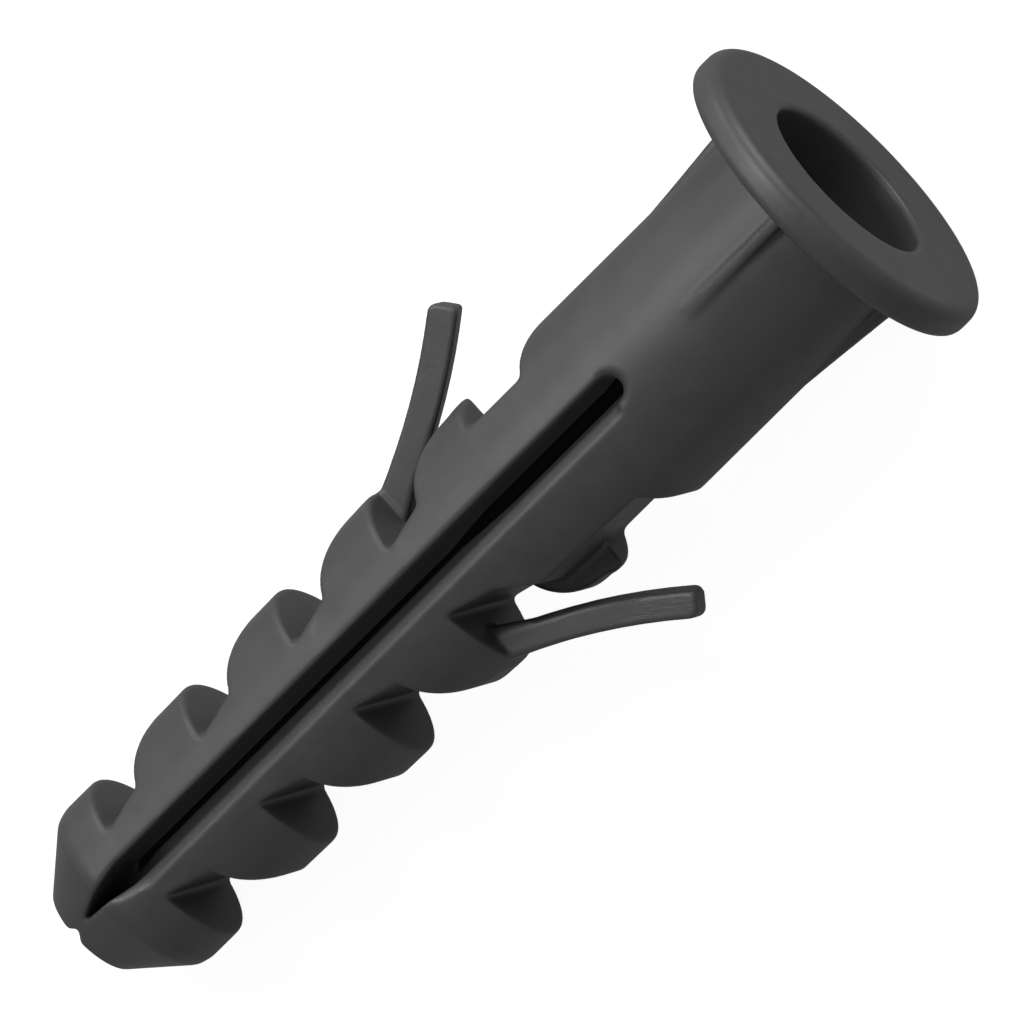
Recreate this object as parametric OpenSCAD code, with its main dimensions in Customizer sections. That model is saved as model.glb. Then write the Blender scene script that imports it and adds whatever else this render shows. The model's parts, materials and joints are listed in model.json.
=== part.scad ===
// Expansion wall plug in moulded nylon, lying on the floor with its collar towards +X.
// The plug is drawn along +Z with the tip at zero, then laid down at the end.

/* [Body] */
// Length from the tip to the face of the collar.
plug_length = 48.7; // [47.5:0.2:54]
// Diameter of the round shank under the collar.
shank_diameter = 10; // [9.6:0.1:10.8]
// Diameter of the crest of the first tooth, next to the tip.
first_crest_diameter = 9.1; // [8.8:0.1:9.6]
// Diameter of the flat end of the tip.
tip_diameter = 4.6; // [4:0.1:5.6]
// Length of the cone from the flat end to the first crest.
tip_cone_length = 2.7; // [2:0.1:3]

/* [Collar] */
// Diameter of the collar.
collar_diameter = 16; // [14:0.5:20]
// Thickness of the collar at its rim.
collar_thickness = 1.6; // [1.3:0.1:2]
// Radius of the rim's edge on the face side.
rim_face_radius = 0.65; // [0.3:0.05:0.65]
// Radius of the rim's edge on the shank side.
rim_back_radius = 0.4; // [0.2:0.05:0.5]
// Radius of the fillet between the collar and the shank.
neck_fillet_radius = 0.5; // [0.3:0.1:0.8]
// Number of ribs on the shank that stop the plug turning in the wall.
rib_count = 4; // [2:1:6]
// Length of each rib below the collar.
rib_length = 6.8; // [5:0.2:9]
// Height of each rib where it meets the collar.
rib_height = 0.6; // [0.4:0.1:1]
// Width of each rib.
rib_width = 0.6; // [0.4:0.1:1]

/* [Screw hole] */
// Diameter of the screw hole at the face of the collar.
mouth_diameter = 8.3; // [7.6:0.1:8.6]
// Radius of the rounded edge of the mouth.
mouth_edge_radius = 0.2; // [0.1:0.05:0.3]
// Depth of the straight entry at the mouth.
entry_depth = 6; // [4:0.5:8]
// Diameter of the hole where the entry has narrowed down.
throat_diameter = 6; // [5:0.1:6.4]
// Diameter of the core hole at the neck.
neck_core_diameter = 3.6; // [3:0.1:4]
// Diameter of the core hole between the teeth.
core_diameter = 1.8; // [1.4:0.1:2.2]

/* [Slot] */
// Width of the slot between the two legs.
slot_width = 1.2; // [0.9:0.1:1.4]
// Distance from the head of the slot to the face of the collar.
slot_head_depth = 12.4; // [12:0.2:14]
// Length over which the slot opens to its full width at the tip end.
slot_taper = 3.4; // [2:0.2:4]
// Depth of the notch in the flat end of the tip.
tip_notch_depth = 0.5; // [0.3:0.1:0.8]
// Width of the notch in the flat end of the tip.
tip_notch_width = 0.8; // [0.6:0.1:1.6]
// Thickness of the web that still joins the legs between notch and slot.
tip_web = 0.4; // [0.2:0.05:0.6]
// Width of the bevel along each outer edge of the slot.
slot_bevel = 0.35; // [0.1:0.05:0.4]

/* [Teeth] */
// Distance from the tip to the face of the first tooth.
first_tooth_face = 5; // [4.7:0.1:5.3]
// Distance from one tooth face to the next.
tooth_pitch = 6.1; // [6:0.02:6.2]
// Half width of the leg pair at the root of each tooth.
root_half_width = 1.9; // [1.8:0.05:2.3]
// Half width of the leg pair where the round flank of a tooth starts.
flank_half_width = 2.5; // [2.4:0.05:2.7]
// Radius of the round flank of a tooth.
flank_radius = 2.8; // [2.6:0.1:3]
// Length of the straight crest behind each tooth face.
crest_length = 1.1; // [0.9:0.1:1.4]
// Half width of the neck above the fifth tooth.
neck_half_width = 3.35; // [3.2:0.05:3.6]
// Half width of the flat beside the fifth tooth, where the tongue folds in.
pocket_half_width = 3.65; // [3.4:0.05:3.8]
// Distance of the half tooth's side from the middle plane of the plug.
half_tooth_side = 0.2; // [0.1:0.05:0.4]
// Radius of the shoulder at the lower end of the shank.
shoulder_radius = 2; // [1.6:0.1:2.2]
// Distance from the face of the collar to the start of the shoulder.
shoulder_depth = 14; // [13.7:0.1:14.4]

/* [Locking tongues] */
// Thickness of a tongue at its thick side, next to the middle plane.
tongue_thickness = 1.4; // [1.2:0.05:1.5]
// Loss of thickness towards a tongue's free side.
tongue_draft = 0.2; // [0:0.05:0.3]
// Width of a tongue, from its thick side to its free side.
tongue_width = 1.4; // [1:0.1:2]
// Radius of the corners at the end of a tongue.
tongue_corner_radius = 0.4; // [0.2:0.05:0.5]
// Radius to which each tongue bends outwards.
tongue_bend_radius = 31; // [26:1:40]
// Lean of a tongue at its root, in degrees from the axis.
tongue_root_angle = 22; // [19:0.5:24]
// Lean of a tongue at its end, in degrees from the axis.
tongue_end_angle = 39; // [34:0.5:40]
// Distance from the axis to the middle of a tongue at its root.
tongue_root_offset = 4.05; // [3.8:0.05:4.05]

/* [Hidden] */
$fa = 4;
$fs = 0.25;
nylon = [0.22, 0.225, 0.23];
slack = 0.5;
shank_r = shank_diameter / 2;
collar_r = collar_diameter / 2;
mouth_r = mouth_diameter / 2;
throat_r = throat_diameter / 2;
core_r = core_diameter / 2;
slot_foot = tip_notch_depth + tip_web;
neck_core_r = neck_core_diameter / 2;
first_crest_r = first_crest_diameter / 2;
tip_r = tip_diameter / 2;
collar_back = plug_length - collar_thickness;
slot_head = plug_length - slot_head_depth;
shoulder_top = plug_length - shoulder_depth;
fourth_face = first_tooth_face + 3 * tooth_pitch;
fifth_face = first_tooth_face + 4 * tooth_pitch;
neck_foot = fourth_face + 3.8;
crest_half_width = shank_r - 0.25;
flank_x = crest_half_width - flank_radius;
flank_drop = sqrt(flank_radius * flank_radius - (flank_half_width - flank_x) * (flank_half_width - flank_x));
bend_x = tongue_root_offset + tongue_bend_radius * cos(tongue_root_angle);
bend_z = fourth_face - tongue_bend_radius * sin(tongue_root_angle);
crest_start = tip_cone_length + 0.5;
slot_half_at_crest = slot_width / 2 * min(1, (crest_start - slot_foot) / slot_taper);
rest_drop = sqrt(first_crest_r * first_crest_r - slot_half_at_crest * slot_half_at_crest);
rim_z = collar_back + rim_back_radius;
rim_x = collar_r - rim_back_radius;
rest_run = rim_z - crest_start;
rest_rise = rim_x - rest_drop;
rest_tilt = atan(rest_rise / rest_run) + asin(rim_back_radius / norm([rest_run, rest_rise]));

// Outline of the solid of revolution, right half only.
module round_outline() {
  difference() {
    union() {
      polygon([
        [0, 0],
        [tip_r, 0],
        [first_crest_r - 0.12, tip_cone_length],
        [first_crest_r, crest_start],
        [first_crest_r, first_tooth_face],
        [shank_r, fifth_face],
        [shank_r, collar_back + slack],
        [0, collar_back + slack]
      ]);
      translate([0, collar_back])
        square([collar_r - rim_face_radius, collar_thickness]);
      translate([0, rim_z])
        square([collar_r, collar_thickness - rim_back_radius - rim_face_radius]);
      translate([collar_r - rim_face_radius, plug_length - rim_face_radius])
        circle(r = rim_face_radius);
      translate([rim_x, rim_z])
        circle(r = rim_back_radius);
      neck_fillet();
    }
    hole_outline();
  }
}

// Fillet between the shank and the back of the collar.
module neck_fillet() {
  difference() {
    translate([shank_r - slack, collar_back - neck_fillet_radius])
      square([neck_fillet_radius + slack, neck_fillet_radius + slack / 2]);
    translate([shank_r + neck_fillet_radius, collar_back - neck_fillet_radius])
      circle(r = neck_fillet_radius);
  }
}

// The screw hole: straight entry, funnel, throat and the narrow core between the teeth.
module hole_outline() {
  difference() {
    translate([-1, plug_length - mouth_edge_radius])
      square([mouth_r + mouth_edge_radius + 1, mouth_edge_radius + 1]);
    translate([mouth_r + mouth_edge_radius, plug_length - mouth_edge_radius])
      circle(r = mouth_edge_radius);
  }
  polygon([
    [-1, 3],
    [0, 3],
    [core_r, 3 + core_r],
    [core_r, fourth_face + 1],
    [neck_core_r, neck_foot],
    [neck_core_r, shoulder_top],
    [throat_r, slot_head + 1],
    [throat_r, plug_length - entry_depth - 1.5],
    [mouth_r, plug_length - entry_depth],
    [mouth_r, plug_length - mouth_edge_radius],
    [-1, plug_length - mouth_edge_radius]
  ]);
}

// One lobe of the saw-tooth edge: a rising floor, a round flank and a straight crest up to the tooth face.
module lobe(face) {
  foot = face - tooth_pitch - 0.02;
  crest = face - crest_length;
  polygon([
    [0, foot],
    [root_half_width, foot],
    [flank_half_width - 0.03, crest - flank_drop],
    [crest_half_width - 0.02, crest],
    [shank_r + 0.2, face],
    [0, face]
  ]);
  intersection() {
    translate([flank_x, crest])
      circle(r = flank_radius);
    translate([0, crest - flank_drop - 0.3])
      square([shank_r, flank_drop + 0.4]);
  }
}

// Outline of one leg on the side where its fifth tooth stands.
module toothed_outline() {
  lobe(fifth_face);
  translate([0, fifth_face - 0.02])
    square([neck_half_width, plug_length - fifth_face]);
}

// Outline of one leg on the other side, with the flat that takes the folded tongue.
module pocket_outline() {
  polygon([
    [0, fourth_face - 0.02],
    [root_half_width, fourth_face - 0.02],
    [flank_half_width, fourth_face + 2.3],
    [pocket_half_width, neck_foot],
    [pocket_half_width + 0.3, shoulder_top],
    [0, shoulder_top]
  ]);
}

// The part of a leg's outline that runs straight through from front to back.
module leg_outline() {
  translate([0, -slack])
    square([shank_r + 1, first_tooth_face + slack]);
  for (i = [1:3])
    lobe(first_tooth_face + i * tooth_pitch);
  intersection() {
    translate([shank_r + 0.02 - shoulder_radius, shoulder_top])
      circle(r = shoulder_radius);
    translate([0, shoulder_top - shoulder_radius])
      square([shank_r + 1, shoulder_radius]);
  }
  translate([0, shoulder_top - 0.02])
    square([collar_r + 2, plug_length]);
}

// Block in the form of one leg: half a fifth tooth in front, the pocket behind.
module leg_block() {
  translate([0, collar_r + 1, 0])
    rotate([90, 0, 0])
      linear_extrude(2 * collar_r + 2)
        leg_outline();
  translate([0, collar_r + 1, 0])
    rotate([90, 0, 0])
      linear_extrude(collar_r + 1 - half_tooth_side)
        toothed_outline();
  translate([0, half_tooth_side + 0.05, 0])
    rotate([90, 0, 0])
      linear_extrude(collar_r + 1 + half_tooth_side)
        pocket_outline();
}

// The slot seen from the front, narrowing to nothing at the tip.
module slot_outline() {
  polygon([
    [0, slot_foot],
    [slot_width / 2, slot_foot + slot_taper],
    [slot_width / 2, slot_head - slot_width / 2],
    [-slot_width / 2, slot_head - slot_width / 2],
    [-slot_width / 2, slot_foot + slot_taper]
  ]);
  polygon([
    [0, tip_notch_depth],
    [-tip_notch_width, -tip_notch_depth],
    [tip_notch_width, -tip_notch_depth]
  ]);
  translate([0, slot_head - slot_width / 2])
    circle(d = slot_width);
}

// Bevel along the outer edges of the slot on one face of the plug.
module slot_bevels() {
  head = slot_head - slot_width / 2;
  foot = slot_foot + slot_taper;
  translate([0, 0, foot])
    linear_extrude(head - foot)
      polygon([
        [-slot_width / 2 - slot_bevel - 0.7, shank_r + 0.7],
        [slot_width / 2 + slot_bevel + 0.7, shank_r + 0.7],
        [slot_width / 2, shank_r - slot_bevel],
        [-slot_width / 2, shank_r - slot_bevel]
      ]);
  translate([0, shank_r - slot_bevel, head])
    rotate([-90, 0, 0])
      cylinder(h = slot_bevel + 0.7, r1 = slot_width / 2, r2 = slot_width / 2 + slot_bevel + 0.7);
}

// One rib on the shank, a fin that rises towards the collar.
module rib() {
  translate([0, rib_width / 2, 0])
    rotate([90, 0, 0])
      linear_extrude(rib_width)
        polygon([
          [shank_r - 0.3, collar_back - rib_length],
          [shank_r - 0.02, collar_back - rib_length],
          [shank_r + rib_height, collar_back - 0.4],
          [shank_r + rib_height, collar_back + 0.3],
          [shank_r - 0.3, collar_back + 0.3]
        ]);
}

// Side view of a tongue: an arc from the tooth face to a blunt end with round corners.
module tongue_outline() {
  far = tongue_bend_radius + 20;
  inner = tongue_bend_radius - tongue_thickness / 2;
  outer = tongue_bend_radius + tongue_thickness / 2;
  corner_angle = tongue_end_angle - tongue_corner_radius * 180 / PI / tongue_bend_radius;
  intersection() {
    difference() {
      circle(r = outer, $fa = 1.5);
      circle(r = inner, $fa = 1.5);
    }
    polygon([
      [0, 0],
      [-far * cos(tongue_root_angle - 2), far * sin(tongue_root_angle - 2)],
      [-far * cos(corner_angle), far * sin(corner_angle)]
    ]);
  }
  intersection() {
    difference() {
      circle(r = outer - tongue_corner_radius, $fa = 1.5);
      circle(r = inner + tongue_corner_radius, $fa = 1.5);
    }
    polygon([
      [0, 0],
      [-far * cos(corner_angle - 1), far * sin(corner_angle - 1)],
      [-far * cos(tongue_end_angle), far * sin(tongue_end_angle)]
    ]);
  }
  for (r = [inner + tongue_corner_radius, outer - tongue_corner_radius])
    translate([-r * cos(corner_angle), r * sin(corner_angle)])
      circle(r = tongue_corner_radius);
}

// One locking tongue, bent outwards, thinner towards its free side.
module tongue() {
  outer = tongue_bend_radius + tongue_thickness / 2;
  slope = tongue_draft / (tongue_width - 0.2);
  translate([bend_x, 0, bend_z])
    rotate([90, 0, 0])
      intersection() {
        linear_extrude(tongue_width)
          tongue_outline();
        rotate_extrude($fa = 1.5)
          polygon([
            [tongue_bend_radius - 2, -0.3],
            [outer + slope * 0.5, -0.3],
            [outer - tongue_draft - slope * 0.3, tongue_width + 0.3],
            [tongue_bend_radius - 2, tongue_width + 0.3]
          ]);
      }
}

// The whole plug, upright on its tip.
module upright_plug() {
  difference() {
    union() {
      intersection() {
        rotate_extrude()
          round_outline();
        union() {
          leg_block();
          rotate([0, 0, 180])
            leg_block();
        }
      }
      for (i = [0:rib_count - 1])
        rotate([0, 0, 90 + i * 360 / rib_count])
          rib();
      tongue();
      rotate([0, 0, 180])
        tongue();
    }
    translate([0, shank_r + 1, 0])
      rotate([90, 0, 0])
        linear_extrude(shank_diameter + 2)
          slot_outline();
    slot_bevels();
    mirror([0, 1, 0])
      slot_bevels();
  }
}

// The plug laid down, resting on the collar and on the edges of the slot near the tip.
module wall_plug() {
  low_x = -sqrt(tip_r * tip_r - tip_notch_width * tip_notch_width / 4) * sin(rest_tilt);
  high_x = (plug_length - rim_face_radius) * cos(rest_tilt)
    + (collar_r - rim_face_radius) * sin(rest_tilt) + rim_face_radius;
  color(nylon)
    translate([-(low_x + high_x) / 2, 0, rest_drop * cos(rest_tilt) - crest_start * sin(rest_tilt)])
      rotate([0, -rest_tilt, 0])
        rotate([90, 0, 90])
          upright_plug();
}

wall_plug();
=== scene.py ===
"""A nylon wall plug on a pale floor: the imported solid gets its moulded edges, its finish and its light."""

import json
import math

import bpy
import numpy as np
import openvdb
from mathutils import Matrix, Vector


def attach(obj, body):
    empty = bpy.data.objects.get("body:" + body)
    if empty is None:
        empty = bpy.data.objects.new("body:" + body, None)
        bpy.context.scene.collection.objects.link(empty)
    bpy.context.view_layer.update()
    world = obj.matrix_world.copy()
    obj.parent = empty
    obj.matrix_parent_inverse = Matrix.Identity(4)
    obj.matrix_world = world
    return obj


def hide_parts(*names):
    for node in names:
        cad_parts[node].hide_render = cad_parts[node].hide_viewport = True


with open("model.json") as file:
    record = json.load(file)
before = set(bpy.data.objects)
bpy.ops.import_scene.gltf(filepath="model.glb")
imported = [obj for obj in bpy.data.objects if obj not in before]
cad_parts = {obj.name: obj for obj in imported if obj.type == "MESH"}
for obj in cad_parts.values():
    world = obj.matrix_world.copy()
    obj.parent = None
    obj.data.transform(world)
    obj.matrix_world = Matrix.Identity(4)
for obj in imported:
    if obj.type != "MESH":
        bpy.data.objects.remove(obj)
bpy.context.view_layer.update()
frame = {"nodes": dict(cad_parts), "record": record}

# The plug body
# One piece of nylon, moulded in a two-part tool, so that each edge of the real plug is slightly rounded.
# Its form is reckoned from its own axis, with the tip at zero, the collar at the far end and the slot
# facing front and back. Lengths here are in millimetres.

PLUG_LENGTH = 48.7
SHANK_RADIUS = 5.0
LEG_RADIUS = 4.55
LEG_FOOT = 5.0
LEG_HEAD = 29.4

CELL = 0.1
CELLS_AROUND = 7
BODY_SOFTENING = 2
TONGUE_SOFTENING = 1
RIB_FOOT = 42.0
MAX_TRIANGLES = 190000

mounts = {m["name"]: m for m in frame["record"]["mounts"]}
axis = Vector(mounts["screw_mouth"]["axis"]).normalized()
mouth = Vector(mounts["screw_mouth"]["pos_m"])
collar = Vector(mounts["collar_face"]["pos_m"])

# The plug's own directions as rows: from side to side, from back to front, and from tip to collar.
along = np.array(axis)
sideways = np.array((0.0, 1.0, 0.0))
own_axes = np.array([sideways, np.cross(along, sideways), along])
tip = np.array(mouth + axis * ((collar - mouth).dot(axis) - PLUG_LENGTH / 1000))

cad_mesh = frame["nodes"]["wall_plug"].data
spots = np.empty(len(cad_mesh.vertices) * 3, dtype=np.float32)
cad_mesh.vertices.foreach_get("co", spots)
spots = (spots.reshape(-1, 3) - tip) @ own_axes.T * 1000
cad_mesh.calc_loop_triangles()
corners = np.empty(len(cad_mesh.loop_triangles) * 3, dtype=np.int32)
cad_mesh.loop_triangles.foreach_get("vertices", corners)

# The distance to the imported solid's surface, negative inside it, on a fine grid.
cells = openvdb.createLinearTransform(CELL)
solid = openvdb.FloatGrid.createLevelSetFromPolygons(
    spots.astype(np.float32),
    triangles=corners.reshape(-1, 3).astype(np.uint32),
    transform=cells,
    halfWidth=CELLS_AROUND,
)
first_cell = np.floor(spots.min(axis=0) / CELL).astype(int) - CELLS_AROUND
last_cell = np.ceil(spots.max(axis=0) / CELL).astype(int) + CELLS_AROUND
distance = np.empty(tuple(last_cell - first_cell + 1), dtype=np.float32)
solid.copyToArray(distance, ijk=tuple(int(i) for i in first_cell))
rulers = [np.arange(first_cell[i], last_cell[i] + 1, dtype=np.float32) * CELL for i in range(3)]
across, front, height = np.meshgrid(*rulers, indexing="ij", sparse=True)
from_axis = np.sqrt(across**2 + front**2)


def inside_all(*sides):
    """Joins the signed distances to several sides into the distance to the form that lies within all."""
    form = sides[0]
    for side in sides[1:]:
        form = np.maximum(form, side)
    return form


# Each tongue widens towards its root on the inner side. The second one is the first, turned by half a turn.
ROOT_HEIGHT = 23.3
ROOT_INSIDE = 3.0
ROOT_OUTSIDE = 4.2
ROOT_DEPTH = 0.1
GUSSET_HEIGHT = 1.8
GUSSET_SLOPE = 0.62
TONGUE_SLOPE = 0.45
TONGUE_WIDTH = 1.3

leg_side = np.sign(across)
rise = height - ROOT_HEIGHT
gusset = inside_all(
    (across * leg_side - ROOT_OUTSIDE - TONGUE_SLOPE * rise) / math.hypot(1, TONGUE_SLOPE),
    (ROOT_INSIDE + GUSSET_SLOPE * rise - across * leg_side) / math.hypot(1, GUSSET_SLOPE),
    rise - GUSSET_HEIGHT,
    -ROOT_DEPTH - rise,
    front * leg_side,
    -TONGUE_WIDTH - front * leg_side,
)
distance = np.minimum(distance, gusset)

# The mould leaves a broad flat along the right edge of the slot, in front and, turned, behind.
# It fades out where the legs round off towards the tip.
FLAT_EDGE = 1.15
FLAT_FOOT = 3.4
FLAT_HEAD = 35.5
FLAT_FADE = 0.3
FLAT_LEAN = math.radians(39.3)
SLOT_SIDE = 0.2

turned = np.sign(front)
reach = np.interp(height, [LEG_FOOT, LEG_HEAD], [LEG_RADIUS, SHANK_RADIUS])
flat_front = np.sqrt(reach**2 - FLAT_EDGE**2) + np.clip(LEG_FOOT - height, 0, 2) * FLAT_FADE
flat_across = (across * turned + FLAT_EDGE) * math.sin(FLAT_LEAN)
flat_outward = (front * turned - flat_front) * math.cos(FLAT_LEAN)
cut = inside_all(
    -flat_across - flat_outward,
    across * turned + SLOT_SIDE,
    FLAT_FOOT - height,
    height - FLAT_HEAD,
)
distance = np.maximum(distance, -cut)

# The left edge of the slot is nearly sharp, so the solid's bevel there is filled up again.
LIP_INSIDE = 0.68
LIP_BACK = 4.0
LIP_FADE = 0.35
LIP_OVERLAP = 0.2

lip_reach = reach - 0.01 - np.clip(LEG_FOOT + 0.5 - height, 0, 2) * LIP_FADE
lip = inside_all(
    LIP_INSIDE - across * turned,
    across * turned - FLAT_EDGE,
    from_axis - lip_reach,
    LIP_BACK - front * turned,
    FLAT_FOOT - height,
    height - FLAT_HEAD - LIP_OVERLAP,
)
distance = np.minimum(distance, lip)


def average(field, rounds):
    """Evens out the distance field, which rounds every edge and leaves the flats alone."""
    for _ in range(rounds):
        for direction in range(3):
            field = np.moveaxis(field, direction, 0)
            inner = field[1:-1] * 0.5 + (field[:-2] + field[2:]) * 0.25
            field = np.concatenate([field[:1], inner, field[-1:]])
            field = np.moveaxis(field, 0, direction)
    return field


# The tongues keep crisper edges than the body.
soft = average(distance, BODY_SOFTENING)
crisp = average(distance, TONGUE_SOFTENING)
in_tongues = np.clip((from_axis - SHANK_RADIUS - 0.1) / 0.3, 0, 1) * (height < RIB_FOOT)
distance = soft + (crisp - soft) * in_tongues

moulded = openvdb.FloatGrid(CELL * CELLS_AROUND)
moulded.transform = cells
moulded.copyFromArray(np.ascontiguousarray(distance), ijk=tuple(int(i) for i in first_cell))
points, triangles, quads = moulded.convertToPolygons(isovalue=0.0, adaptivity=0.0)

# Back from the plug's own directions to the place where it lies. The faces are turned to point outwards.
points = points.astype(np.float64) / 1000 @ own_axes + tip
faces = [tuple(f) for f in triangles[:, ::-1].tolist()] + [tuple(f) for f in quads[:, ::-1].tolist()]
plug_mesh = bpy.data.meshes.new("plug")
plug_mesh.from_pydata(points.tolist(), [], faces)
plug_mesh.validate()
plug = bpy.data.objects.new("plug", plug_mesh)
bpy.context.scene.collection.objects.link(plug)

thinning = plug.modifiers.new("thinning", "DECIMATE")
thinning.ratio = min(1.0, MAX_TRIANGLES / (2 * len(quads) + len(triangles)))
thinned = bpy.data.meshes.new_from_object(plug.evaluated_get(bpy.context.evaluated_depsgraph_get()))
plug.modifiers.remove(thinning)
plug.data = thinned
thinned.shade_smooth()

# Dark grey nylon: dull, faintly cloudy, with the fine grain of the mould.
NYLON_DARK = (0.0275, 0.0285, 0.0295, 1)
NYLON_PALE = (0.0345, 0.0352, 0.0358, 1)

nylon = bpy.data.materials.new("dark grey nylon")
nylon.use_nodes = True
nodes = nylon.node_tree.nodes
links = nylon.node_tree.links
shader = nodes["Principled BSDF"]
shader.inputs["Roughness"].default_value = 0.5
shader.inputs["IOR"].default_value = 1.5


def reckon(operation, *values):
    """Adds a Math node to the material in hand. Each value is a number or another node's output."""
    node = nodes.new("ShaderNodeMath")
    node.operation = operation
    for socket, value in zip(node.inputs, values):
        if isinstance(value, float):
            socket.default_value = value
        else:
            links.new(value, socket)
    return node.outputs[0]


def speckle(place, scale, detail):
    """Adds a noise pattern to the material in hand."""
    node = nodes.new("ShaderNodeTexNoise")
    node.inputs["Scale"].default_value = scale
    node.inputs["Detail"].default_value = detail
    links.new(place, node.inputs["Vector"])
    return node


# Each spot in the plug's own directions, in millimetres.
place = nodes.new("ShaderNodeTexCoord")
from_tip = nodes.new("ShaderNodeVectorMath")
from_tip.operation = "SUBTRACT"
from_tip.inputs[1].default_value = tuple(tip)
links.new(place.outputs["Object"], from_tip.inputs[0])
own = nodes.new("ShaderNodeCombineXYZ")
own_parts = []
for socket, direction in zip(own.inputs, own_axes):
    part = nodes.new("ShaderNodeVectorMath")
    part.operation = "DOT_PRODUCT"
    part.inputs[1].default_value = tuple(direction * 1000)
    links.new(from_tip.outputs["Vector"], part.inputs[0])
    links.new(part.outputs["Value"], socket)
    own_parts.append(part.outputs["Value"])
own_across, own_front, own_height = own_parts
own_place = own.outputs["Vector"]

clouds = speckle(own_place, 0.7, 4.0)
tint = nodes.new("ShaderNodeValToRGB")
tint.color_ramp.elements[0].position = 0.3
tint.color_ramp.elements[0].color = NYLON_DARK
tint.color_ramp.elements[1].position = 0.7
tint.color_ramp.elements[1].color = NYLON_PALE
links.new(clouds.outputs["Fac"], tint.inputs["Fac"])
links.new(tint.outputs["Color"], shader.inputs["Base Color"])

# The tool slid along the tongues and along the flat beside the slot, and left fine streaks there.
STREAKS_FROM = 4.9
STREAKS_FULL = 7.2
STREAKS_HEAD = 38.0
FLAT_MIDDLE = -0.9
FLAT_HALF_WIDTH = 0.34
STREAK_SCALE = (12.0, 7.0, 0.9)

squares = reckon("MULTIPLY", own_across, own_across), reckon("MULTIPLY", own_front, own_front)
own_reach = reckon("SQRT", reckon("ADD", *squares))
on_tongue = nodes.new("ShaderNodeMapRange")
on_tongue.interpolation_type = "SMOOTHSTEP"
on_tongue.inputs["From Min"].default_value = STREAKS_FROM
on_tongue.inputs["From Max"].default_value = STREAKS_FULL
links.new(own_reach, on_tongue.inputs["Value"])
tongue_mask = reckon("MULTIPLY", on_tongue.outputs["Result"], reckon("LESS_THAN", own_height, STREAKS_HEAD))
flat_mask = reckon(
    "MULTIPLY",
    reckon("COMPARE", own_across, FLAT_MIDDLE, FLAT_HALF_WIDTH),
    reckon("LESS_THAN", own_height, FLAT_HEAD + 0.3),
)

# On a tongue the streaks follow its bend: they keep their distance from the centre of its arc.
BEND_OFFSET = 32.79
BEND_HEIGHT = 11.69

side_view = nodes.new("ShaderNodeCombineXYZ")
links.new(reckon("ABSOLUTE", own_across), side_view.inputs["X"])
links.new(own_height, side_view.inputs["Z"])
bend = nodes.new("ShaderNodeVectorMath")
bend.operation = "DISTANCE"
bend.inputs[1].default_value = (BEND_OFFSET, 0, BEND_HEIGHT)
links.new(side_view.outputs["Vector"], bend.inputs[0])
lane = nodes.new("ShaderNodeMix")
links.new(tongue_mask, lane.inputs["Factor"])
links.new(own_across, lane.inputs["A"])
links.new(bend.outputs["Value"], lane.inputs["B"])
laid = nodes.new("ShaderNodeCombineXYZ")
links.new(lane.outputs["Result"], laid.inputs["X"])
links.new(own_front, laid.inputs["Y"])
links.new(own_height, laid.inputs["Z"])
drawn = nodes.new("ShaderNodeMapping")
drawn.inputs["Scale"].default_value = STREAK_SCALE
links.new(laid.outputs["Vector"], drawn.inputs["Vector"])
streaks = speckle(drawn.outputs["Vector"], 1.0, 3.0)
streaks.inputs["Distortion"].default_value = 0.4
streak_height = reckon(
    "MULTIPLY",
    reckon("SUBTRACT", streaks.outputs["Fac"], 0.5),
    reckon("MAXIMUM", tongue_mask, flat_mask),
)
scored = nodes.new("ShaderNodeBump")
scored.inputs["Strength"].default_value = 0.3
scored.inputs["Distance"].default_value = 0.00006
links.new(streak_height, scored.inputs["Height"])

grain = speckle(own_place, 5.0, 3.0)
skin = nodes.new("ShaderNodeBump")
skin.inputs["Strength"].default_value = 0.25
skin.inputs["Distance"].default_value = 0.00002
links.new(grain.outputs["Fac"], skin.inputs["Height"])
links.new(scored.outputs["Normal"], skin.inputs["Normal"])
links.new(skin.outputs["Normal"], shader.inputs["Normal"])
thinned.materials.clear()
thinned.materials.append(nylon)

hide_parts("wall_plug")
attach(plug, "root")

# The floor
# A wide pale studio table of matt paint. It shows nearly white to the camera and keeps the plug's soft
# shadow. The plug is dull, so its sheen takes up only a part of that white.

FLOOR_SIZE = 3.0
FLOOR_GREY = 0.18
FLOOR_WHITE = 0.93
WHITE_IN_SHEEN = 0.2

bpy.ops.mesh.primitive_plane_add(size=FLOOR_SIZE, location=(0, 0, 0))
floor = bpy.context.object
floor.name = "floor"
paint = bpy.data.materials.new("floor paint")
paint.use_nodes = True
nodes = paint.node_tree.nodes
links = paint.node_tree.links
nodes.clear()
matt = nodes.new("ShaderNodeBsdfDiffuse")
matt.inputs["Color"].default_value = (FLOOR_GREY, FLOOR_GREY, FLOOR_GREY, 1)
white = nodes.new("ShaderNodeEmission")
white.inputs["Color"].default_value = (1, 1, 1, 1)
rays = nodes.new("ShaderNodeLightPath").outputs
sheen = reckon("MULTIPLY", rays["Is Glossy Ray"], WHITE_IN_SHEEN)
seen = reckon("ADD", reckon("MAXIMUM", rays["Is Camera Ray"], rays["Is Transmission Ray"]), sheen)
links.new(reckon("MULTIPLY", seen, FLOOR_WHITE), white.inputs["Strength"])
both = nodes.new("ShaderNodeAddShader")
links.new(matt.outputs[0], both.inputs[0])
links.new(white.outputs[0], both.inputs[1])
out = nodes.new("ShaderNodeOutputMaterial")
links.new(both.outputs[0], out.inputs["Surface"])
floor.data.materials.append(paint)

# The light
# A soft lamp beyond the left side of the plug, a low one behind it, one on the collar's side, and a dim
# pale room. Each lamp comes with where it stands, in degrees, its size in metres and its power in watts.

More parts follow.
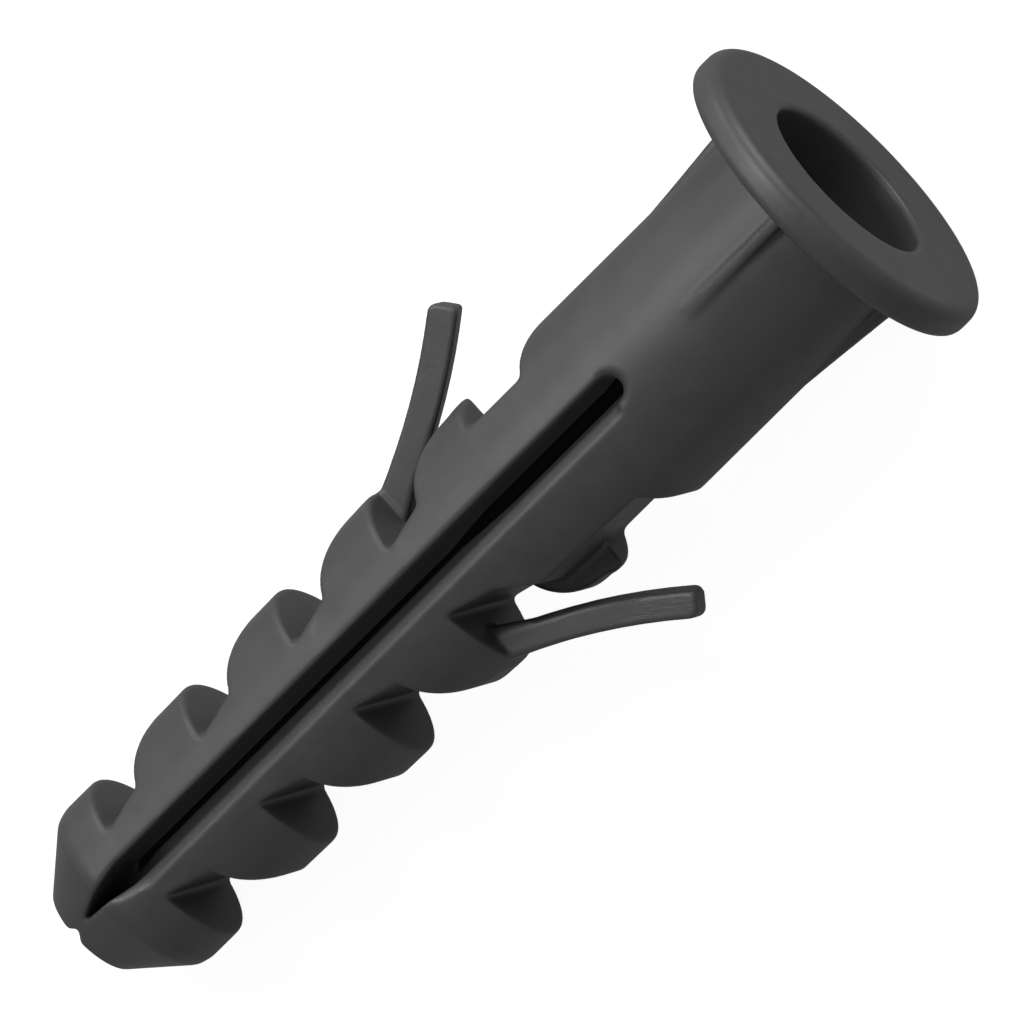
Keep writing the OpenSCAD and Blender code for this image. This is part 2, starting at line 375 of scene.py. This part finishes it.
ROOM_LIGHT = 0.42
LAMP_DISTANCE = 0.7

world = bpy.data.worlds.new("pale room")
bpy.context.scene.world = world
world.use_nodes = True
nodes = world.node_tree.nodes
links = world.node_tree.links
nodes.clear()
rays = nodes.new("ShaderNodeLightPath").outputs
room = nodes.new("ShaderNodeBackground")
room.inputs["Color"].default_value = (1, 1, 1, 1)
room.inputs["Strength"].default_value = ROOM_LIGHT
backdrop = nodes.new("ShaderNodeBackground")
backdrop.inputs["Color"].default_value = (1, 1, 1, 1)
backdrop.inputs["Strength"].default_value = 1.0
choice = nodes.new("ShaderNodeMixShader")
links.new(rays["Is Camera Ray"], choice.inputs["Fac"])
links.new(room.outputs[0], choice.inputs[1])
links.new(backdrop.outputs[0], choice.inputs[2])
out = nodes.new("ShaderNodeOutputWorld")
links.new(choice.outputs[0], out.inputs["Surface"])


def bearing(azimuth, elevation):
    """The direction from the plug outwards. Azimuth 0 is in front, and 90 is beyond the collar."""
    a, e = math.radians(azimuth), math.radians(elevation)
    return Vector((math.sin(a) * math.cos(e), -math.cos(a) * math.cos(e), math.sin(e)))


def soft_lamp(name, azimuth, elevation, size, power):
    """A square lamp that points at the plug from the given direction."""
    away = bearing(azimuth, elevation)
    lamp = bpy.data.lights.new(name, "AREA")
    lamp.size = size
    lamp.energy = power
    holder = bpy.data.objects.new(name, lamp)
    holder.location = away * LAMP_DISTANCE
    holder.rotation_mode = "QUATERNION"
    holder.rotation_quaternion = (-away).to_track_quat("-Z", "Y")
    bpy.context.scene.collection.objects.link(holder)


soft_lamp("main light", 186, 56, 0.22, 3.5)
soft_lamp("low light", 180, 10, 0.3, 1.3)
soft_lamp("head light", 122, 18, 0.3, 2.9)

# The camera
# It looks steeply down through a long lens, and is rolled so that the plug rises to the right.

CAMERA_AZIMUTH = 53.923
CAMERA_ELEVATION = 73.901
CAMERA_ROLL = math.radians(-96.806)
CAMERA_DISTANCE = 0.8
PICTURE_WIDTH = 0.0445166
AIM = Vector((0.0024925, 0.0002049, 0.0054676))

lens = bpy.data.cameras.new("camera")
lens.sensor_width = 36.0
lens.lens = lens.sensor_width * CAMERA_DISTANCE / PICTURE_WIDTH
lens.clip_start = 0.01
lens.clip_end = 10.0
camera = bpy.data.objects.new("camera", lens)
away = bearing(CAMERA_AZIMUTH, CAMERA_ELEVATION)
camera.location = AIM + away * CAMERA_DISTANCE
turn = math.radians(CAMERA_AZIMUTH)
level_right = Vector((math.cos(turn), math.sin(turn), 0.0))
right = level_right * math.cos(CAMERA_ROLL) + away.cross(level_right) * math.sin(CAMERA_ROLL)
camera.rotation_mode = "QUATERNION"
camera.rotation_quaternion = Matrix((right, away.cross(right), away)).transposed().to_quaternion()
bpy.context.scene.collection.objects.link(camera)
bpy.context.scene.camera = camera
bpy.context.scene.view_settings.view_transform = "Standard"
